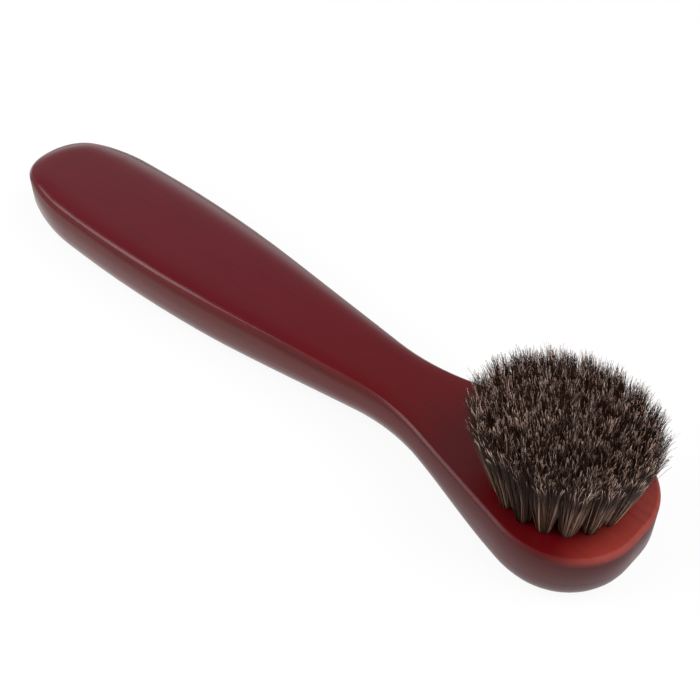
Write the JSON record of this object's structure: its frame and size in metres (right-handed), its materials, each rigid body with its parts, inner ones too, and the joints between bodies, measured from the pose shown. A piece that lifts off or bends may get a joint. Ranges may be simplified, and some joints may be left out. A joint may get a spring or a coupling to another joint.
{
  "type": "shoe shine brush",
  "caption": "Shoe shine brush: a dark red lacquered wooden handle that flares into a round head, with a flared pad of horsehair tufts anchored in drilled holes.",
  "frame": {"origin": "under the middle of the brush, on the surface that it lies on with the hair up", "axes": "+X from the butt of the handle to the head, +Y across the handle, +Z the way the hair points"},
  "size_m": [0.176, 0.0348, 0.0315],
  "materials": {
    "lacquered_wood": "stained dark red-brown, gloss lacquer",
    "horsehair": "dark brown hair with tan tips",
    "anchor_wire": "drawn wire"
  },
  "bodies": {
    "root": {"handle": "lacquered_wood", "anchors": "anchor_wire", "tuft_center": "horsehair", "tuft_ring1_01": "horsehair", "tuft_ring1_02": "horsehair", "tuft_ring1_03": "horsehair", "tuft_ring1_04": "horsehair", "tuft_ring1_05": "horsehair", "tuft_ring1_06": "horsehair", "tuft_ring2_01": "horsehair", "tuft_ring2_02": "horsehair", "tuft_ring2_03": "horsehair", "tuft_ring2_04": "horsehair", "tuft_ring2_05": "horsehair", "tuft_ring2_06": "horsehair", "tuft_ring2_07": "horsehair", "tuft_ring2_08": "horsehair", "tuft_ring2_09": "horsehair", "tuft_ring2_10": "horsehair", "tuft_ring2_11": "horsehair", "tuft_ring2_12": "horsehair", "tuft_ring3_01": "horsehair", "tuft_ring3_02": "horsehair", "tuft_ring3_03": "horsehair", "tuft_ring3_04": "horsehair", "tuft_ring3_05": "horsehair", "tuft_ring3_06": "horsehair", "tuft_ring3_07": "horsehair", "tuft_ring3_08": "horsehair", "tuft_ring3_09": "horsehair", "tuft_ring3_10": "horsehair", "tuft_ring3_11": "horsehair", "tuft_ring3_12": "horsehair", "tuft_ring3_13": "horsehair", "tuft_ring3_14": "horsehair", "tuft_ring3_15": "horsehair", "tuft_ring3_16": "horsehair", "tuft_ring3_17": "horsehair", "tuft_ring3_18": "horsehair"}
  },
  "joints": []
}
